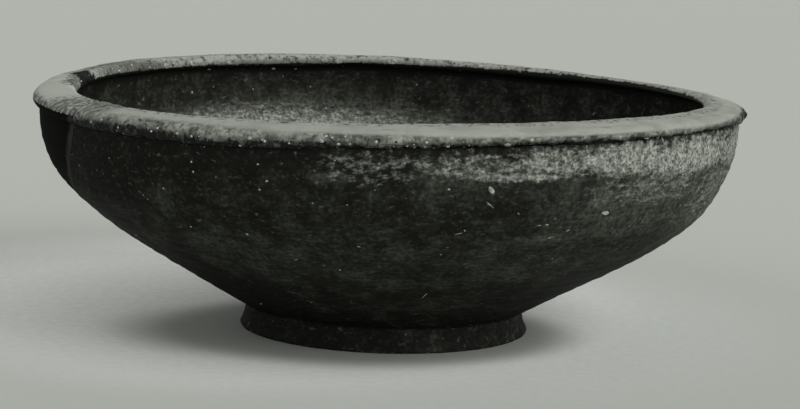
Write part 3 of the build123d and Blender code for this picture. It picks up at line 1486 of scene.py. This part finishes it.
    def chipped(self, points: np.ndarray) -> np.ndarray:
        """Weighs the chipped place on the lip's inner edge.

        Args:
            points: Points in millimetres.

        Returns:
            One weight for each.
        """
        turn = turn_of(points) % 360
        (start, end), (rise, fall) = self.chips, self.chip_ends
        along = ease(turn, start, start + rise) * ease(turn, end, end - fall)
        return along * ease(radius_of(points), *self.chip_radii)

    def facing_viewer(self, centres: np.ndarray) -> np.ndarray:
        """Says which faces are crumbled or chipped where the viewer sees them.

        Args:
            centres: The faces' centres in millimetres.

        Returns:
            A true or false for each.
        """
        skirt = (radius_of(centres) > 106.6) & (centres[:, 2] > 68) & (centres[:, 2] < 74.4)
        worn = (lay(self.rough[:2], centres) > 0.1) | (self.chipped(centres) > 0)
        return (centres[:, 1] < 8) & skirt | worn & (centres[:, 2] > 72)


@dataclass(frozen=True)
class RestoredSection:
    """The plaster fill in the lost sherd's place, and the glue and grout round it.

    Attributes:
        body: The bowl's body, whose wall the fill follows.
        rim: The rim, whose roll the fill follows.
        gap: The break that it fills.
        low: Height at which the blank for it starts, below the break.
        start: Turn at which the blank starts.
        sweep: How far the blank is turned.
        sunk: How far the grout lies below the surface.
        joint_heights: The heights at which wear starts and is full above the joint.
        skirt_heights: The heights at which the rim's worn skirt starts and is full.
        skirt_radii: The radii at which it does so.
        worn_turns: The turns, at the rim's crest, at which wear near the break starts and is full.
        worn_lean: How many degrees nearer to the middle they lie for each millimetre lower.
        edging: How near the near break its worn edging starts and is full.
        toned_heights: The heights at which the toned wall starts and is full.
    """

    body: BowlBody = BowlBody()
    rim: RimRoll = RimRoll()
    gap: Break = Break()
    low: float = 34.0
    start: float = 152.0
    sweep: float = 78.0
    sunk: float = 0.12
    joint_heights: Point = (68.6, 69.4)
    skirt_heights: Point = (73.2, 71.2)
    skirt_radii: Point = (104.0, 107.0)
    worn_turns: Point = (199.0, 212.0)
    worn_lean: float = 2.2
    edging: Point = (4.5, 0.8)
    toned_heights: Point = (71.4, 69.6)

    def blank(self, name: str) -> Piece:
        """Turns the whole lip over the arc that the fill lies in.

        Args:
            name: The piece's name.

        Returns:
            A closed solid of wall and rim in one.
        """
        inner = self.body.inner_wall(Section([self.body.inner_start])).points
        outer = self.body.outer_wall(Section([self.body.wall_top])).points
        path = Section([p for p in inner if p[1] > self.low]).run(self.rim.joint_in, step=1.0)
        self.rim.over(path)
        path.points += [p for p in outer if p[1] > self.low]
        path.run(path.points[0], step=2.0)
        made = path.turned(name, round(self.sweep * 2), self.sweep, self.start)
        self.body.warp.bend(made)
        return made

    def build_fill(self, filled: Piece) -> Piece:
        """Makes the plaster fill.

        Args:
            filled: The block up to the fill's side of the bond.

        Returns:
            The finished mesh.
        """
        made = self.blank("plaster_fill_cast")
        cut(made, filled, "INTERSECT")
        refine(made, self.worked)
        points = points_mm(made)
        radius, turn, height = radius_of(points), turn_of(points) % 360, points[:, 2]
        above_joint = ease(height, *self.joint_heights)
        skirt = ease(height, *self.skirt_heights) * ease(radius, *self.skirt_radii) * above_joint
        along = turn + self.worn_lean * (75.0 - height)
        worn = 0.9 * ease(along, *self.worn_turns) * above_joint
        chipped = self.rim.chipped(points)
        edge = ease(self.gap.from_near_face(points), *self.edging)
        roughen(made, Grain.ROLL, 3.4, 0.9, skirt * 0.6)
        roughen(made, Grain.ROLL, 2.6, 2.0, chipped)
        paint(
            made,
            crumb=np.max([skirt, worn, 1.1 * chipped], axis=0),
            edge=edge,
            toned=np.maximum(ease(height, *self.toned_heights), 0.8 * chipped * edge),
        )
        return made

    def worked(self, centres: np.ndarray) -> np.ndarray:
        """Says which faces of the fill are worn or chipped."""
        turn = turn_of(centres) % 360
        return (centres[:, 2] > 68) & ((turn > 196) | (turn < 180) | (radius_of(centres) > 106))

    def build_bond(self, lost: Piece, filled: Piece) -> Piece:
        """Makes the layer of glue and grout.

        Args:
            lost: The block up to the clay's side of the bond.
            filled: The block up to the fill's side.

        Returns:
            The finished mesh.
        """
        made = self.blank("break_bond_grout")
        with editing(made):
            bpy.ops.transform.shrink_fatten(value=-self.sunk * MM)
        cut(made, lost, "INTERSECT")
        cut(made, filled, "DIFFERENCE")
        points = points_mm(made)
        on_top = ease(points[:, 2], 70.0, 73.0) * ease(radius_of(points), 99.5, 102.0)
        paint(made, dust=0.1 + 0.9 * on_top)
        return made


@dataclass(frozen=True)
class Speck:
    """One grain of lime that stuck to the bowl.

    Attributes:
        turn: Its place round the axis.
        height: Its height.
        size: Its radius.
        spread: How many times longer than wide it is.
        tilt: How far its length is turned from level, upwards to the right.
    """

    turn: float
    height: float
    size: float
    spread: float = 1.0
    tilt: float = 0.0


Specks = tuple[Speck, ...]


@dataclass(frozen=True)
class LimeGrains:
    """Grains of lime on walls and rim: some placed one by one, the rest scattered.

    Attributes:
        outer: Grains on the outer wall.
        inner: Grains on the inner wall.
        lip: Grains on the rim's inner edge.
        edge: Crumbs on its lower outer edge.
        scattered: How many more lie on the walls.
        seed: Chooses where those lie.
        heights: The lowest one's height, and how far above it the highest lies.
        crowding: How strongly they crowd upwards, less than 1 for more of them high up.
        sizes: The smallest and the largest one's radius.
        spreads: How many times longer than wide they are, at least and at most.
        outside_share: How many of them lie outside.
        beyond: A radius outside the bowl, from where its outer surface is sought.
        thickness: How thick a grain is, against its width.
        limed: How thick the lime on it is, as its material reads it.
    """

    outer: Specks = rows_of(
        Speck,
        (-53.2, 50.3, 0.7, 2, -8), (-74.5, 58.5, 0.7, 2.1, -52), (-81, 58.8, 0.32, 1.3), (-98.6, 31.8, 0.32),
        (-147.5, 55.5, 0.22), (-137.5, 60, 0.22), (-120.3, 62.5, 0.3), (-109.3, 63.6, 0.26, 1.4),
        (-97.8, 66, 0.26), (-108, 59, 0.29, 1.5, 20), (-131.5, 50.5, 0.25), (-124.5, 42.2, 0.29, 1.4, -30),
        (-113.5, 42, 0.29, 1.5, -20), (-96, 53.5, 0.22), (-101.5, 33, 0.22), (-106.5, 34.5, 0.2, 5, 35),
        (-94.5, 40.5, 0.18, 3, -20), (-62.8, 49.5, 0.24), (-80.5, 38.5, 0.25), (-74.5, 54.4, 0.16, 13, -40),
        (-80.5, 22.5, 0.16, 11, 72), (-43.5, 70.6, 0.2, 8, -66), (-65.3, 47.6, 0.2, 4, 5),
        (-63.9, 47.7, 0.2, 3), (-59.5, 45.5, 0.2, 3, 30), (-62, 43.5, 0.2, 6, 15),
        (-69.5, 51.5, 0.2, 2.5, -45), (-78.5, 45.5, 0.22, 5, 20), (-77.6, 46.4, 0.18, 3, -50),
        (-45.8, 45, 0.22, 1.5), (-37, 59.5, 0.23, 1.5),
    )
    inner: Specks = rows_of(Speck, (132, 63.5, 0.5), (118, 63.8, 0.35), (85, 66, 0.3), (106, 64.5, 0.3))
    lip: Specks = rows_of(
        Speck,
        (168, 74.6, 0.9, 1.3, 50), (167, 73.4, 0.6, 1.6, 70), (165, 74.2, 0.5, 1.4, 20),
        (163.5, 73.3, 0.6, 1.2), (141, 73.8, 1.1, 1.5), (139, 74.4, 0.7), (134, 74, 1, 1.6),
        (125, 73.6, 0.7, 1.4), (104, 74.2, 1, 1.3), (101, 73.8, 0.8, 1.6), (90, 74.2, 1.1, 1.7),
        (84, 73.7, 0.7, 1.3), (72, 74, 0.8, 1.6),
    )
    edge: Specks = rows_of(
        Speck,
        (-111.5, 71.8, 0.68, 1.2, 30), (-110.2, 71, 0.56, 1.2), (-112.6, 70.4, 0.45),
        (-108.2, 70.7, 0.43, 1.5), (-99.6, 71.4, 0.56, 1.4), (-97.2, 70.7, 0.43, 1.3),
        (-95.6, 70.9, 0.38), (-87.4, 70.9, 0.38), (-86.3, 70.4, 0.41), (-84.9, 70.7, 0.3),
        (-83.5, 70.3, 0.38), (-81.6, 70.9, 0.34, 1.6), (-79, 70.6, 0.3), (-72.6, 71.4, 0.56, 1.9),
        (-70.8, 70.7, 0.38, 1.3), (-66.2, 70.8, 0.45, 1.6), (-61, 71, 0.38, 1.4), (-52, 71.1, 0.38, 1.5),
        (-47.6, 71.6, 0.56, 2), (-45, 71.4, 0.43, 1.6), (-122, 70.3, 0.38, 1.3), (-127.5, 70.7, 0.38, 1.3),
        (-138, 71.1, 0.45, 1.3),
    )
    scattered: int = 45
    seed: int = 5
    heights: Point = (12.0, 54.0)
    crowding: float = 0.7
    sizes: Point = (0.15, 0.32)
    spreads: Point = (1.0, 1.4)
    outside_share: float = 0.7
    beyond: float = 140.0
    thickness: float = 0.55
    limed: float = 1.4

    def build(self, walls: Piece, rim: Piece) -> Piece:
        """Models one grain, and lays copies of it on the bowl.

        Args:
            walls: The bowl's body.
            rim: The rim.

        Returns:
            All grains as one piece.
        """
        bpy.ops.mesh.primitive_ico_sphere_add(subdivisions=2, radius=MM)
        first = bpy.context.object
        bpy.ops.object.transform_apply()
        roughen(first, Grain.ROLL, 0.9, 0.25)
        placed = ((self.outer, walls, True), (self.inner, walls, False), (self.lip, rim, False))
        placed += ((self.edge, rim, True),)
        specks = [(speck, ground, outside) for group, ground, outside in placed for speck in group]
        chance = random.Random(self.seed)
        low, rise = self.heights
        for _ in range(self.scattered):
            turn, height = chance.uniform(-180, 180), low + rise * chance.random() ** self.crowding
            speck = Speck(turn, height, chance.uniform(*self.sizes), chance.uniform(*self.spreads))
            specks.append((speck, walls, chance.random() < self.outside_share))
        up = Vector((0, 0, 1))
        grains = []
        for speck, ground, outside in specks:
            angle = math.radians(speck.turn)
            out = Vector((math.cos(angle), math.sin(angle), 0))
            start = out * (self.beyond if outside else 0) * MM + up * speck.height * MM
            hit, place, normal, _ = ground.ray_cast(start, -out if outside else out)
            if not hit:
                continue
            along = Quaternion(normal, math.radians(speck.tilt)) @ up.cross(normal).normalized()
            axes = (along * speck.spread, normal.cross(along), normal * self.thickness)
            grain = first.copy()
            grain.data = first.data.copy()
            bpy.context.scene.collection.objects.link(grain)
            scale = Matrix.Diagonal((speck.size, speck.size, speck.size, 1))
            grain.matrix_world = axes_at(place, *axes) @ scale
            grains.append(grain)
        remove(first)
        made = join(grains, "lime_grains")
        bpy.ops.object.transform_apply()
        count = len(made.data.vertices)
        paint(made, crust=np.full(count, self.limed), bloom=np.zeros(count))
        return made


# The setting


@dataclass(frozen=True)
class Studio:
    """Floor, light and camera.

    Attributes:
        eye: The camera's place.
        pitch: How far it looks down.
        yaw: How far it looks towards +X.
        roll: How far it leans.
        lens: Its focal length on a sensor 36 mm wide.
        clip: The nearest and the farthest that it sees, in metres.
        paper: The floor's size in metres.
        ambient: The even light's strength straight above.
        horizon: How much stronger it is at the horizon.
        sun: The main light's strength.
        sun_from: Where the main light comes from.
        sun_width: How wide that light is in the sky.
        backdrop: What the camera sees behind the floor.
    """

    eye: Place = (0.0, -842.1, 163.1)
    pitch: float = 8.41
    yaw: float = 0.271
    roll: float = 1.914
    lens: float = 122.4
    clip: Point = (0.01, 50.0)
    paper: float = 12.0
    ambient: float = 0.35
    horizon: float = 1.0
    sun: float = 1.85
    sun_from: Place = (0.726, -0.419, 0.545)
    sun_width: float = 42.0
    backdrop: str = "#a8aca5"

    def build(self) -> None:
        """Lays the paper, and adds light and camera."""
        bpy.ops.mesh.primitive_plane_add(size=self.paper)
        sheet = name_piece(bpy.context.object, "paper_floor")
        sheet.data.materials.append(PaperFloor().material())
        self.add_light()
        self.add_camera()

    def add_light(self) -> None:
        """Adds a broad main light and an even one all round, which reflections see as the backdrop."""
        bpy.ops.object.light_add(type="SUN")
        lamp = bpy.context.object
        lamp.name = "main_light"
        lamp.data.energy = self.sun
        lamp.data.angle = math.radians(self.sun_width)
        lamp.rotation_euler = Vector(self.sun_from).to_track_quat("Z", "Y").to_euler()
        world = bpy.context.scene.world = bpy.data.worlds.new("even light")
        sky = Nodes(world)
        rays = sky.add("LightPath").node.outputs
        seen = rays["Is Camera Ray"]
        for kind in ("Glossy", "Transmission"):
            seen = sky.add("Math", {0: seen, 1: rays[f"Is {kind} Ray"]}, operation="MAXIMUM")
        height = sky.add("SeparateXYZ", {"Vector": sky.add("TexCoord", out="Generated")}, out="Z")
        levels = {"Value": height, "To Min": self.ambient + self.horizon, "To Max": self.ambient}
        strength = sky.add("MapRange", levels)
        light = sky.add("Background", {"Color": (1.0, 1.0, 1.0, 1.0), "Strength": strength})
        shown = sky.add("Background", {"Color": linear(self.backdrop), "Strength": 1.0})
        both = sky.add("MixShader", {0: seen, 1: light, 2: shown})
        sky.add("OutputWorld", {"Surface": both}, out=None)

    def add_camera(self) -> None:
        """Places the camera by its pitch, yaw and roll."""
        pitch, yaw, roll = (math.radians(a) for a in (self.pitch, self.yaw, self.roll))
        level = math.cos(pitch)
        ahead = Vector((math.sin(yaw) * level, math.cos(yaw) * level, -math.sin(pitch)))
        right = ahead.cross(Vector((0, 0, 1))).normalized()
        up = right.cross(ahead)
        leaning_right = right * math.cos(roll) + up * math.sin(roll)
        leaning_up = up * math.cos(roll) - right * math.sin(roll)
        bpy.ops.object.camera_add()
        camera = bpy.context.scene.camera = bpy.context.object
        camera.name = "viewer"
        camera.data.lens = self.lens
        camera.data.clip_start, camera.data.clip_end = self.clip
        camera.matrix_world = axes_at(Vector(self.eye) * MM, leaning_right, leaning_up, -ahead)
        bpy.context.scene.view_settings.view_transform = "Standard"


def main() -> None:
    """Builds the bowl's sub-assemblies in order."""
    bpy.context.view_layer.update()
    restored = RestoredSection()
    lost, filled = restored.gap.cutter(Side.CLAY), restored.gap.cutter(Side.FILL)
    slip = FiredSlip().material()

    walls = restored.body.build(lost)
    roll = restored.rim.build(lost)
    fill = restored.build_fill(filled)
    bond = restored.build_bond(lost, filled)
    grains = LimeGrains().build(walls, roll)
    remove(lost, filled)

    finish_piece(walls, slip, "slipped_clay", "bowl_body")
    finish_piece(FootRing().build(), slip, "slipped_clay", "foot_ring")
    finish_piece(roll, LimedClayWithPaintedSheen().material(), "worn_clay", "rim_roll")
    finish_piece(fill, TonedPlaster().material(), "plaster", "plaster_fill")
    finish_piece(bond, Grout().material(), "bond", "break_bond")
    finish_piece(grains, slip, "worn_clay")
    Studio().build()


if __name__ == "__main__":
    logging.basicConfig(level=logging.INFO, format="%(message)s")
    main()
